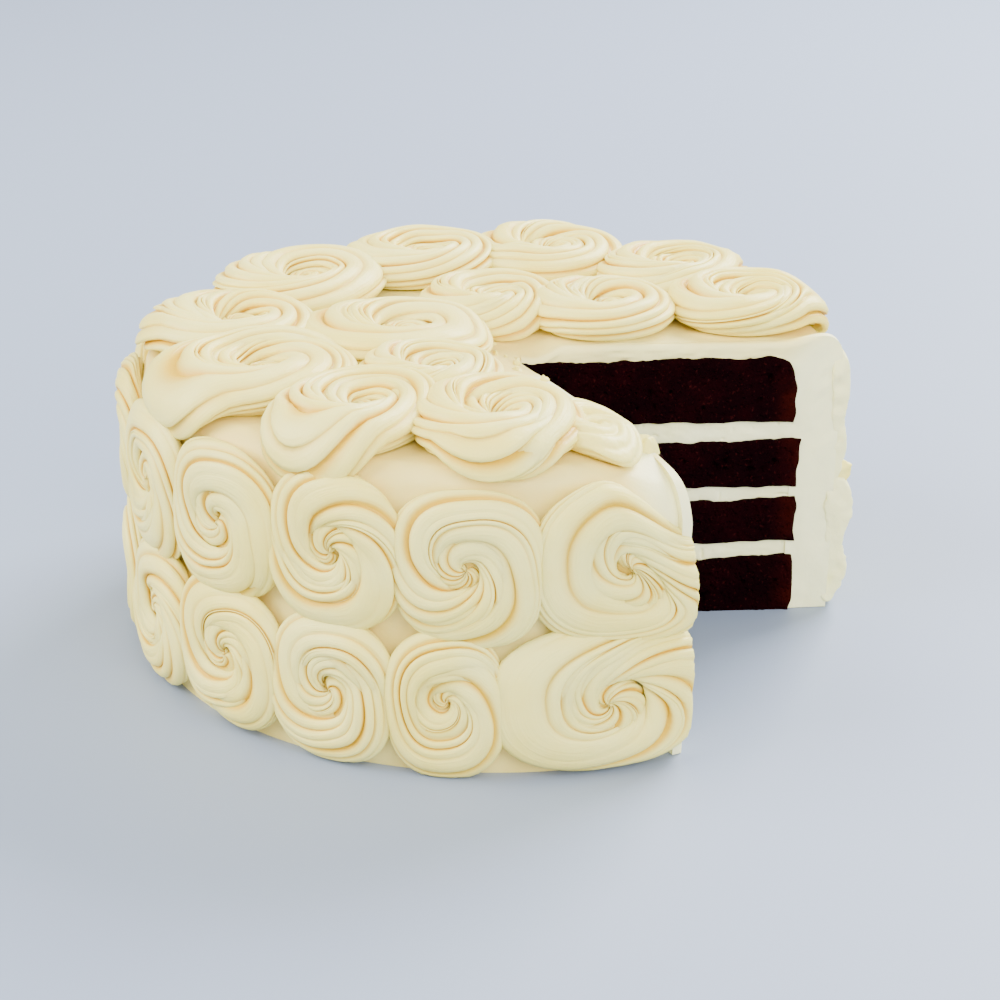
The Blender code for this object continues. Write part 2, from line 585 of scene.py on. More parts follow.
@dataclass
class Larder:
    """The finishes of the cake, each built once."""

    rose: bpy.types.Material
    coat: bpy.types.Material
    filling: bpy.types.Material
    crumb: bpy.types.Material

    @classmethod
    def stocked(cls) -> Larder:
        """Builds the shared group and every material.

        Returns:
            The larder, with its materials in it.
        """
        whipped = whipped_group()
        # the piped icing's third colour is the painted shade of its grooves and eyes
        rose = Cream("piped_icing", (0.94, 0.845, 0.27), (0.93, 0.79, 0.185), (0.76, 0.46, 0.010),
                     fresh=(0.97, 0.93, 0.47), roughness=0.42, strands=0.8)
        coat = Cream("coat_icing", (0.93, 0.80, 0.28), (0.92, 0.73, 0.21),
                     fresh=(0.98, 0.95, 0.53))
        filling = Cream("filling_cream", (0.98, 0.95, 0.55), (0.97, 0.92, 0.47),
                        bubble_size=1300.0, roughness=0.6)
        return cls(rose.make(whipped), coat.make(whipped), filling.make(whipped), Crumb().make())


# ---------------------------------------------------------------------------
# The knife
# ---------------------------------------------------------------------------


@dataclass(frozen=True)
class Knife:
    """The two cuts that took the slice out."""

    tip: tuple[float, float] = (0.009, -0.002)
    near: float = NEAR_CUT
    far: float = FAR_CUT
    reach: float = 0.30
    squeeze: float = 0.965

    def along(self, azimuth: float) -> np.ndarray:
        """The level direction of one cut, outwards from the slice's tip."""
        return direction(azimuth)

    def out_of(self, azimuth: float) -> np.ndarray:
        """The level direction out of one cut face, into the gap."""
        return direction(azimuth + 90.0 if azimuth == self.near else azimuth - 90.0)

    def beyond(self, points: np.ndarray, azimuth: float) -> np.ndarray:
        """How far each place is beyond a cut, on the side of the missing slice."""
        return (points - np.array([*self.tip, 0.0])) @ self.out_of(azimuth)

    def down_cut(self, points: np.ndarray, azimuth: float) -> np.ndarray:
        """How far each place is from the slice's tip, along a cut."""
        return (points - np.array([*self.tip, 0.0])) @ self.along(azimuth)

    def trim(self, piece: bpy.types.Object, azimuth: float) -> None:
        """Cuts a piece flat along one of the cuts and closes it.

        Args:
            piece: what the knife went through.
            azimuth: which of the two cuts.
        """
        edit_all(piece)
        bpy.ops.mesh.bisect(plane_co=(*self.tip, 0.0), plane_no=tuple(self.out_of(azimuth)),
                            use_fill=True, clear_outer=True)
        leave_edit()

    @staticmethod
    def fuse(rose: bpy.types.Object) -> None:
        """Fuses the overlapping turns of a rose into one skin.

        Args:
            rose: the coiled rose.
        """
        skin = rose.modifiers.new("fuse", "REMESH")
        skin.mode = "VOXEL"
        skin.voxel_size = GRAIN
        apply_modifiers(rose)

    def trim_rose(self, rose: bpy.types.Object, azimuth: float) -> None:
        """Fuses the turns of a rose and cuts it flat.

        Args:
            rose: the rose that the knife went through.
            azimuth: which of the two cuts.
        """
        self.fuse(rose)
        self.trim(rose, azimuth)
        self.fuse(rose)
        soften = rose.modifiers.new("soften", "SMOOTH")
        soften.factor = 0.5
        soften.iterations = 9
        apply_modifiers(rose)
        for name in ("hollow_shade", "lay"):
            if name in rose.data.attributes:
                rose.data.attributes.remove(rose.data.attributes[name])
        points = places(rose)
        apart = self.beyond(points, azimuth)
        fresh = smooth(apart, -0.0045, -0.0008)
        swell = 0.0010 * lumps(points, 0.009, azimuth) + 0.0005 * lumps(points, 0.0035, azimuth)
        swell *= smooth(apart, -0.0020, -0.0004)
        put(rose, points + swell[:, None] * self.out_of(azimuth))
        mark(rose, "hollow_shade", np.zeros(len(points)))
        mark(rose, "cut", fresh)
        mark(rose, "lay", points * 400.0)
        shade_smooth(rose)

    def press(self, points: np.ndarray, azimuth: float) -> np.ndarray:
        """Presses what lies beyond a cut flat against it, as a knife smears soft icing.

        Args:
            points: places in the cake's frame.
            azimuth: which of the two cuts.

        Returns:
            The places after the cut.
        """
        apart = np.maximum(self.beyond(points, azimuth), 0.0)
        return points - (apart * self.squeeze)[:, None] * self.out_of(azimuth)

    def take_slice(self, piece: bpy.types.Object, back: float = 0.0) -> None:
        """Takes the slice out of a round piece.

        Args:
            piece: the round piece.
            back: how far its cut faces stand back from the cuts.
        """
        deselect_all()
        bpy.ops.mesh.primitive_cube_add(size=1.0, location=(0.5, 0.0, 0.5))
        wedge = bpy.context.object
        settle(wedge)
        tip = np.array([*self.tip, 0.0])
        near = self.along(self.near)
        far = self.along(self.far)
        opened = math.radians(self.far - self.near)
        tip = tip - (near + far) / np.linalg.norm(near + far) * back / math.sin(opened / 2.0)
        points = places(wedge)
        out = points[:, 0:1] * self.reach
        side = np.where(points[:, 1:2] > 0.0, 1.0, 0.0)
        moved = tip + out * (near * (1.0 - side) + far * side)
        moved = moved + (side - 0.5) * 1e-5 * np.array([-near[1], near[0], 0.0])
        moved[:, 2] = points[:, 2] * 0.2 - 0.05
        put(wedge, moved)
        edit_all(wedge)
        bpy.ops.mesh.remove_doubles(threshold=2e-5)
        bpy.ops.mesh.normals_make_consistent(inside=False)
        leave_edit()
        cut = piece.modifiers.new("slice", "BOOLEAN")
        cut.object = wedge
        cut.operation = "DIFFERENCE"
        cut.solver = "EXACT"
        apply_modifiers(piece)
        bpy.data.objects.remove(wedge)


KNIFE = Knife()


# ---------------------------------------------------------------------------
# Piped roses
# ---------------------------------------------------------------------------


@dataclass(frozen=True)
class Swirl:
    """How the baker coiled one rose: from its eye outwards, clockwise."""

    seed: float
    start: float = 200.0
    turns: float = 2.65
    twist: float = 4.6
    lean: float = 0.6
    lean_at: float = 0.0
    depth: float = 0.36
    eye: tuple[float, float] = (0.0, 0.0)
    dome: float = 0.82
    lift: float = 0.0
    tall: float = 1.0
    sprawl: float = 1.28
    least: float = 0.10


@dataclass(frozen=True)
class Rope:
    """The rope that a star nozzle presses out, before it is coiled: a straight ribbed bar.

    Its sizes are in millimetres, for a round rose of the radius given here.
    """

    lobes: int = 11
    rings: int = 165
    steps: tuple[float, ...] = (0.0, 0.06, 0.18, 0.38, 0.62, 0.82, 0.94)
    radius: float = 22.0
    thin: float = 3.5
    widening: float = 3.7
    full_turns: float = 1.06
    tail_from: float = 0.86
    crest_lean: float = 0.24
    bead_radius: float = 4.6
    bead_at: float = -3.0

    def columns(self) -> int:
        """How many points go round the rope."""
        return self.lobes * len(self.steps)

    def press(self) -> bpy.types.Object:
        """Makes the straight bar, one long, and the bead that fills a rose's eye.

        Returns:
            The bar, standing on the origin.
        """
        deselect_all()
        bpy.ops.mesh.primitive_circle_add(vertices=self.columns(), radius=1.0, fill_type="NGON")
        bar = bpy.context.object
        edit_all(bar)
        for _ in range(self.rings):
            bpy.ops.mesh.extrude_region_move(
                TRANSFORM_OT_translate={"value": (0.0, 0.0, 1.0 / self.rings)})
        bpy.ops.mesh.select_all(action="SELECT")
        bpy.ops.mesh.normals_make_consistent(inside=False)
        leave_edit()
        deselect_all()
        bpy.ops.mesh.primitive_uv_sphere_add(segments=20, ring_count=10, radius=1.0,
                                             location=(0.0, 0.0, self.bead_at))
        bead = bpy.context.object
        settle(bead)
        join([bar, bead])
        shade_smooth(bar)
        return bar

    def ribs(self, points: np.ndarray) -> tuple[np.ndarray, np.ndarray, np.ndarray]:
        """Finds where round the straight rope each point is.

        Args:
            points: the straight rope's points.

        Returns:
            Each point's lobe, how far across that lobe it is, and its nearest groove.
        """
        number = np.rint(np.arctan2(points[:, 1], points[:, 0]) / math.tau * self.columns())
        number = number.astype(int) % self.columns()
        steps = np.array(self.steps)
        part = steps[number % len(steps)]
        lobe = number // len(steps)
        return lobe, part, np.where(part > 0.5, lobe + 1, lobe) % self.lobes

    def fit_outline(self, laid: np.ndarray, half: tuple[float, float], square: float) -> None:
        """Stretches a round rose to its outline, and turns it from millimetres to metres.

        Args:
            laid: the rose's points, changed in place.
            half: half its width and half its height across, in metres.
            square: how square its outline is; 2 is round.
        """
        scale = min(half) / (self.radius * MM)
        ratio_u = half[0] / min(half)
        ratio_v = half[1] / min(half)
        bearing = np.arctan2(laid[:, 1], laid[:, 0])
        stretch = (np.abs(np.cos(bearing) / ratio_u)) ** square
        stretch = 1.0 / (stretch + (np.abs(np.sin(bearing) / ratio_v)) ** square) ** (1.0 / square)
        edge = smooth(np.hypot(laid[:, 0], laid[:, 1]) / self.radius, 0.0, 0.8)
        stretch = 1.0 + (stretch - 1.0) * edge
        laid[:, :2] *= (stretch * scale)[:, None] * MM
        laid[:, 2] *= MM

    def coil(self, bar: bpy.types.Object, swirl: Swirl, height: float,
             half: tuple[float, float], square: float) -> tuple[bpy.types.Object, np.ndarray]:
        """Coils a copy of the bar into a rose that lies flat.

        Args:
            bar: the straight rope.
            swirl: how it is coiled.
            height: how tall the rose is, in metres.
            half: half its width and half its height across, in metres.
            square: how square its outline is; 2 is round.

        Returns:
            The copy, and its points across, up and outwards from the seat, in metres.
        """
        rose = copy_of(bar)
        points = places(rose)
        t = np.clip(points[:, 2], 0.0, 1.0)
        lobe, part, groove = self.ribs(points)
        seed = swirl.seed
        radius = self.radius
        tall = height / MM * swirl.tall

        # where the rope's middle runs: out from the eye, then once round at full width
        angle = math.radians(swirl.start) - math.tau * swirl.turns * t
        path = np.clip(t * swirl.turns / (swirl.turns - self.full_turns), 0.0, 1.0)
        tail = smooth(t, self.tail_from, 1.0)
        head = smooth(t, -0.02, 0.07)
        wide = self.thin + self.widening * smooth(path, 0.0, 1.0)
        wide = wide * (1.0 + 0.06 * sway(angle * 0.9, seed + 2.0))
        wide = wide * (1.0 - 0.75 * tail) * (0.7 + 0.3 * head)
        deep = tall / 2.0 * (swirl.dome + (1.0 - swirl.dome) * smooth(path, 0.15, 1.0))
        deep = deep * (0.75 + 0.25 * head) * (1.0 + 0.05 * sway(angle * 1.3, seed + 7.0))
        deep = deep * (1.0 - 0.8 * tail)
        out = 0.3 + (radius - 7.3) * path ** 1.08 + 0.35 * sway(angle, seed) * path + 2.5 * tail
        rise = deep * 0.90 + 0.2 * sway(angle * 0.7 + 5.0, seed)

        # how far the grooves have rolled from the inner side over to the outer side
        lean_at = math.radians(swirl.lean_at)
        gone = math.radians(swirl.start) - angle
        lean = np.sin(angle - lean_at) - math.sin(math.radians(swirl.start) - lean_at)
        roll = swirl.twist * (gone - swirl.lean * lean) / math.tau
        ratio = (lobe + part) / self.lobes * math.tau
        ratio = ratio + 0.24 * np.sin(2.0 * ratio + seed) + 0.15 * np.sin(3.0 * ratio + 2.0 * seed)
        around = ratio - roll + 0.3 * sway(t * 3.0, seed + 3.0)

        # the star's grooves, each of its own depth
        strength = 0.58 + 0.46 * np.sin(groove * 2.4 + seed * 1.3 + t * 6.0)
        strength = np.clip(strength, swirl.least, 1.0) * (0.75 + 0.25 * head)
        ridge = 1.0 - np.abs(np.sin(math.pi * part)) ** 0.62
        bite = swirl.depth * ridge * strength
        shingle = 0.11 * (part - 0.5) * smooth(strength, 0.0, 0.8)
        swell = 1.0 - bite + shingle

        # the rope's section, its crest leaning in over the eye
        across = wide * np.cos(around) * (1.0 - 0.8 * (1.0 - swell))
        up = deep * np.sin(around) * (1.0 - 1.15 * (1.0 - swell))
        across = across - self.crest_lean * wide * np.maximum(np.sin(around), 0.0)
        reach = out + across
        sink = 1.0 - 0.10 * (1.0 - smooth(np.abs(reach), 0.0, 11.0))
        laid = np.stack([reach * np.cos(angle), reach * np.sin(angle), (rise + up) * sink], axis=1)
        bead = points[:, 2] < self.bead_at / 2.0
        laid[bead] = points[bead] * np.array([self.bead_radius, self.bead_radius, 0.0])
        laid[bead, 2] = tall * (0.02 + 0.24 * swirl.dome * 2.0 * (points[bead, 2] - self.bead_at))
        fade = 1.0 - smooth(path, 0.3, 1.0)
        laid[:, 0] += swirl.eye[0] * radius * fade
        laid[:, 1] += swirl.eye[1] * radius * fade

        self.fit_outline(laid, half, square)

        # what the finish reads: painted shade in the grooves and round the eye, and the way the
        # icing ran
        hollow_shade = np.clip(ridge * strength * 1.15 * (1.0 - tail), 0.0, 1.0)
        hollow_shade = np.clip(hollow_shade + 0.24 * (1.0 - smooth(path, 0.0, 0.6)), 0.0, 1.0)
        mark(rose, "hollow_shade", np.where(bead, 0.5, hollow_shade))
        lay = np.stack([ratio * 16.0, gone * out * 0.12, np.full_like(t, seed)], axis=1)
        mark(rose, "lay", lay)
        return rose, laid


@dataclass
class RoseBed:
    """Where roses sit: round the side and on the top of the coat."""

    side_radius: float = 0.1070
    top: float = 0.0912
    rounding: float = 0.006
    floor: float = 0.0006

    def on_side(self, laid: np.ndarray, azimuth: float, level: float) -> np.ndarray:
        """Bends a flat rose round the side.

        Args:
            laid: the flat rose's points.
            azimuth: the azimuth of its middle, in degrees.
            level: the height of its middle.

        Returns:
            The points in the cake's frame.
        """
        height = np.maximum(level + laid[:, 1], self.floor)
        over = np.clip(height - (self.top - self.rounding), 0.0, self.rounding)
        seat = self.side_radius - self.rounding + np.sqrt(self.rounding ** 2 - over ** 2)
        radius = seat + laid[:, 2]
        bearing = math.radians(azimuth) + laid[:, 0] / self.side_radius
        return np.stack([radius * np.cos(bearing), radius * np.sin(bearing), height], axis=1)

    def on_top(self, laid: np.ndarray, azimuth: float, out: float) -> np.ndarray:
        """Lays a flat rose on the top, its rim hanging over the coat's rounded edge.

        Args:
            laid: the flat rose's points, its second axis towards the cake's middle.
            azimuth: the azimuth of its middle, in degrees.
            out: how far its middle is from the cake's middle, over the surface.

        Returns:
            The points in the cake's frame.
        """
        radial = -direction(azimuth)
        side = np.array([radial[1], -radial[0], 0.0])
        moved = laid[:, 0:1] * side + (laid[:, 1:2] - out) * radial
        reach = np.hypot(moved[:, 0], moved[:, 1])
        edge = self.side_radius - self.rounding
        bend = np.clip((reach - edge) / self.rounding, 0.0, math.pi / 2.0)
        thick = laid[:, 2] * (1.0 - 0.42 * bend / (math.pi / 2.0))
        past = np.maximum(reach - edge - self.rounding * math.pi / 2.0, 0.0)
        radius = np.minimum(reach, edge) + np.sin(bend) * (self.rounding + thick)
        height = self.top - self.rounding + np.cos(bend) * (self.rounding + thick) - past
        moved *= (radius / np.maximum(reach, 1e-9))[:, None]
        moved[:, 2] = height
        return moved


def slump(points: np.ndarray) -> np.ndarray:
    """Settles icing beside the near cut, where the knife dragged the edge down.

    Args:
        points: places in the cake's frame.

    Returns:
        The places after settling.
    """
    reach = 0.030
    rim = 0.085
    drop = 0.0042
    rim_drop = 0.0095
    apart = -KNIFE.beyond(points, KNIFE.near)
    along = KNIFE.down_cut(points, KNIFE.near)
    weight = (1.0 - smooth(apart, 0.0, reach)) * smooth(along, -0.022, 0.004)
    weight = weight * smooth(apart, -0.014, -0.004)
    high = smooth(points[:, 2], 0.030, 0.088)
    out = np.clip((np.hypot(points[:, 0], points[:, 1]) - rim) / 0.022, 0.0, 1.3)
    moved = points.copy()
    moved[:, 2] -= weight * high * (drop + rim_drop * out ** 2)
    return moved


@dataclass
class SideRow:
    """One row of roses round the side, from the near cut clockwise to the far cut."""

    name: str
    level: float
    low: float
    high: float
    joints: tuple[float, ...]
    swirls: tuple[Swirl, ...]
    even: int = 10
    end: float = -362.0
    end_tall: float = 1.12
    height: float = 0.0085
    lap: float = 1.13
    reach: float = 0.805
    square: float = 2.55

    def cells(self) -> list[tuple[float, float]]:
        """The azimuth where each rose starts and ends.

        Returns:
            The two azimuths of each rose, in degrees, from the near cut on.
        """
        edges = list(self.joints)
        step = (self.end - edges[-1]) / self.even
        edges += [edges[-1] + step * (number + 1) for number in range(self.even)]
        return list(zip(edges[:-1], edges[1:]))

    def build(self, rope: Rope, bar: bpy.types.Object, bed: RoseBed, larder: Larder) -> None:
        """Pipes the row.

        Args:
            rope: the rope's sizes.
            bar: the straight rope.
            bed: the surface that the roses sit on.
            larder: the finishes.
        """
        cells = self.cells()
        for number, (start, stop) in enumerate(cells):
            middle = (start + stop) / 2.0
            half_u = abs(start - stop) / 2.0 * math.radians(1.0) * bed.side_radius * self.lap
            level = (self.high + self.low) / 2.0
            if number < len(self.swirls):
                swirl = self.swirls[number]
            elif number == len(cells) - 1:
                swirl = Swirl(self.level * 700.0, start=30.0, twist=2.6, depth=0.20, dome=0.95,
                              tall=self.end_tall)
            else:
                seed = number * 3.7 + self.level * 900.0
                spin = 137.5 * number + self.level * 3000.0
                swirl = Swirl(seed, start=spin % 360.0, turns=2.65 + 0.2 * math.sin(seed),
                              twist=4.6 + 1.6 * math.sin(seed * 2.0), lean_at=spin * 1.7 % 360.0,
                              depth=0.34 + 0.05 * math.sin(seed * 3.0),
                              eye=(0.05 * math.sin(seed), 0.05 * math.cos(seed)))
                level += 0.0008 * math.sin(seed * 1.9)
            half_v = (self.high - self.low) / 2.0 * self.reach * swirl.sprawl
            rose, laid = rope.coil(bar, swirl, self.height, (half_u, half_v), self.square)
            points = bed.on_side(laid, middle, level + swirl.lift * MM)
            if number == 0:
                points = slump(KNIFE.press(points, KNIFE.near))
            if number == len(cells) - 1:
                put(rose, points)
                KNIFE.trim_rose(rose, KNIFE.far)
                points = places(rose)
            put(rose, points)
            node = f"rose_{self.name}_{number + 1:02d}"
            hand_over(rose, f"piped_{self.name}_{number + 1:02d}", larder.rose, (node,))


@dataclass
class TopRoses:
    """The roses on the top: a ring along the edge and a few inside it."""

    height: float = 0.0120
    widen: float = 1.25
    square: float = 2.1
    outer: tuple[tuple[float, float, float, Swirl], ...] = ()
    inner: tuple[tuple[float, float, float, Swirl], ...] = ()

    def build(self, rope: Rope, bar: bpy.types.Object, bed: RoseBed, larder: Larder) -> None:
        """Pipes the ring and the roses inside it.

        Args:
            rope: the rope's sizes.
            bar: the straight rope.
            bed: the surface that the roses sit on.
            larder: the finishes.
        """
        for row, roses in (("outer", self.outer), ("inner", self.inner)):
            for number, (out, azimuth, size, swirl) in enumerate(roses):
                half = (size * self.widen, size * swirl.sprawl)
                rose, laid = rope.coil(bar, swirl, self.height, half, self.square)
                put(rose, slump(bed.on_top(laid, azimuth, out)))
                if row == "outer" and number == 0:
                    KNIFE.trim_rose(rose, KNIFE.near)
                node = f"rose_top_{row}_{number + 1:02d}"
                hand_over(rose, f"piped_top_{row}_{number + 1:02d}", larder.rose,
                          (node,))


# ---------------------------------------------------------------------------
# Sponge, filling and coat
# ---------------------------------------------------------------------------


class Face(Enum):
    """The two cut faces of the cake."""

    NEAR = NEAR_CUT
    FAR = FAR_CUT


@dataclass
class CutPanel:
    """The skin of one layer where the knife went through it."""

    face: Face
    fine: tuple[int, int] = (230, 34)
    proud: float = 0.0004
    thick: float = 0.0025

    def sheet(self) -> tuple[bpy.types.Object, np.ndarray, np.ndarray]:
        """Makes a closed thin slab with a fine front and one plain back.

        Returns:
            The slab, its shares along and up, and which of its points are on the front.
        """
        deselect_all()
        bpy.ops.mesh.primitive_grid_add(x_subdivisions=self.fine[0], y_subdivisions=self.fine[1],
                                        size=1.0, location=(0.5, 0.5, 0.0))
        slab = bpy.context.object
        settle(slab)
        edit_all(slab)
        bpy.ops.mesh.region_to_loop()
        bpy.ops.mesh.extrude_region_move(TRANSFORM_OT_translate={"value": (0.0, 0.0, -1.0)})
        bpy.ops.mesh.edge_face_add()
        bpy.ops.mesh.select_all(action="SELECT")
        bpy.ops.mesh.normals_make_consistent(inside=False)
        leave_edit()
        points = places(slab)
        return slab, points[:, :2], points[:, 2] > -0.5

    def stand(self, slab: bpy.types.Object, along: np.ndarray, up: np.ndarray,
              front: np.ndarray, relief: np.ndarray) -> None:
        """Stands a slab up in the cut.

        Args:
            slab: the flat slab.
            along: how far each point is from the slice's tip, along the cut.
            up: each point's height.
            front: which points are on the front.
            relief: how far each front point stands out.
        """
        cut = self.face.value
        out = np.where(front, self.proud + relief, -self.thick)
        points = np.array([*KNIFE.tip, 0.0]) + along[:, None] * KNIFE.along(cut)
        points = points + out[:, None] * KNIFE.out_of(cut)
        points[:, 2] = up
        put(slab, points)
        turn_outwards(slab)

    def length(self, radius: float) -> float:
        """How long the cut is, from the slice's tip to a circle of this radius.

        Args:
            radius: the radius of the circle round the origin.

        Returns:
            The length, in metres.
        """
        tip = np.array([*KNIFE.tip, 0.0])
        way = KNIFE.along(self.face.value)
        part = float(tip @ way)
        return -part + math.sqrt(part * part + radius * radius - float(tip @ tip))


@dataclass
class Layer:
    """A round layer of the cake between two levels."""

    name: str
    low: float
    high: float
    radius: float
    rounding: float = 0.0
    seed: float = 1.0

    def body(self, inset: float, back: float) -> bpy.types.Object:
        """Makes the round body with the slice taken out.

        Args:
            inset: how far its wall stands back.
            back: how far its cut faces stand back.

        Returns:
            The body.
        """
        deselect_all()
        height = self.high - self.low
        bpy.ops.mesh.primitive_cylinder_add(vertices=160, radius=self.radius - inset, depth=height,
                                            location=(0.0, 0.0, (self.low + self.high) / 2.0))
        body = bpy.context.object
        settle(body)
        if self.rounding:
            edge = body.modifiers.new("rounding", "BEVEL")
            edge.width = self.rounding
            edge.segments = 5
            edge.limit_method = "ANGLE"
            edge.angle_limit = math.radians(60.0)
            apply_modifiers(body)
        KNIFE.take_slice(body, back)
        return body

    def top_at(self, along: np.ndarray, length: float) -> np.ndarray:
        """The height of the layer's top at each distance along a cut.

        Args:
            along: distances from the slice's tip.
            length: how long the cut is.

        Returns:
            The heights.
        """
        if not self.rounding:
            return np.full_like(along, self.high)
        past = np.clip(along - (length - self.rounding), 0.0, self.rounding * 0.999)
        return self.high - self.rounding + np.sqrt(self.rounding ** 2 - past ** 2)


@dataclass
class Sponge(Layer):
    """A dark sponge, torn into crumb where it was cut."""

    lip: float = 0.0

    def skin(self, face: Face) -> bpy.types.Object:
        """Makes the crumbly skin of one cut face.

        Args:
            face: which cut face.

        Returns:
            The skin.
        """
        panel = CutPanel(face, fine=(260, 44), proud=0.0010)
        slab, share, front = panel.sheet()
        length = panel.length(self.radius)
        along = share[:, 0] * length
        top = self.top_at(along, length)
        if face is Face.FAR:
            top = top + self.lip * smooth(share[:, 0], 0.15, 1.0)
        seed = self.seed + face.value
        line = np.stack([along, np.zeros_like(along), np.full_like(along, seed)], axis=1)
        ragged = 0.0007 * lumps(line, 0.014, seed) + 0.0004 * lumps(line, 0.0045, seed + 1.0)
        ragged = ragged + 0.0002 * lumps(line, 0.0013, seed + 4.0)
        lower = 0.0004 * lumps(line, 0.012, seed + 2.0) + 0.0003 * lumps(line, 0.004, seed + 3.0)
        lower = lower if self.low > 0.005 else np.zeros_like(lower)
        up = (self.low + lower) * (1.0 - share[:, 1]) + (top + ragged) * share[:, 1]
        rim = np.stack([np.zeros_like(up), up, np.full_like(up, seed)], axis=1)
        along = along + share[:, 0] ** 12 * 0.0007 * lumps(rim, 0.004, seed + 5.0)
        spot = np.stack([along, up, np.full_like(up, seed)], axis=1)
        relief = 0.00042 * lumps(spot, 0.0052, seed) + 0.00036 * lumps(spot, 0.0022, seed + 1.0)
        relief = relief + 0.00026 * lumps(spot, 0.0010, seed + 2.0)
        hole = lumps(spot, 0.0026, seed + 6.0) + 0.4 * lumps(spot, 0.0013, seed + 7.0)
        edge = np.minimum.reduce([share[:, 1], 1.0 - share[:, 1]]) * (self.high - self.low)
        edge = np.minimum(edge, (1.0 - share[:, 0]) * length)
        relief = relief - 0.0016 * smooth(hole, 0.42, 0.95) * smooth(edge, 0.0012, 0.0040)
        relief = relief - 0.0007 * (1.0 - smooth(edge, 0.0, 0.0012))
        # pits stay shallow where cream lies just behind them
        shelter = 0.0048 if face is Face.FAR else 0.0160
        relief = np.maximum(relief, np.where(edge < shelter, -0.0005, -0.0026))
        panel.stand(slab, along, up, front, relief)
        baked = smooth(lumps(spot, 0.006, seed), -0.8, 0.8)
        mark(slab, "crust", smooth(share[:, 0], 0.90, 1.0) * baked)
        return slab

    def build(self, larder: Larder) -> None:
        """Bakes the sponge and tears its cut faces.

        Args:
            larder: the finishes.
        """
        pieces = [self.body(0.0006, 0.0015)] + [self.skin(face) for face in Face]
        whole = join(pieces)
        shade_smooth(whole, 50.0)
        hand_over(whole, f"cake_{self.name}", larder.crumb, (self.name,))


@dataclass
class Filling(Layer):
    """A layer of cream between two sponges, pressed out a little at the cut."""

    def skin(self, face: Face) -> bpy.types.Object:
        """Makes the smeared skin of one cut face.

        Args:
            face: which cut face.

        Returns:
            The skin.
        """
        panel = CutPanel(face, fine=(220, 22), proud=-0.0004)
        slab, share, front = panel.sheet()
        length = panel.length(self.radius) + 0.0012
        along = share[:, 0] * length
        seed = self.seed + face.value
        up = self.low - 0.0012 + share[:, 1] * (self.high - self.low + 0.0024)
        spot = np.stack([along * 0.5, up, np.full_like(up, seed)], axis=1)
        relief = 0.00035 * lumps(spot, 0.0040, seed) + 0.00018 * lumps(spot, 0.0012, seed + 1.0)
        pit = lumps(spot * np.array([2.0, 1.0, 1.0]), 0.0016, seed + 2.0)
        relief = relief - 0.0006 * smooth(pit, 0.6, 0.95)
        panel.stand(slab, along, up, front, relief)
        return slab

    def build(self, larder: Larder) -> None:
        """Spreads the filling and smears its cut faces.

        Args:
            larder: the finishes.
        """
        pieces = [self.body(0.0004, 0.0012)] + [self.skin(face) for face in Face]
        whole = join(pieces)
        shade_smooth(whole, 50.0)
        hand_over(whole, f"cream_{self.name}", larder.filling, (self.name,))


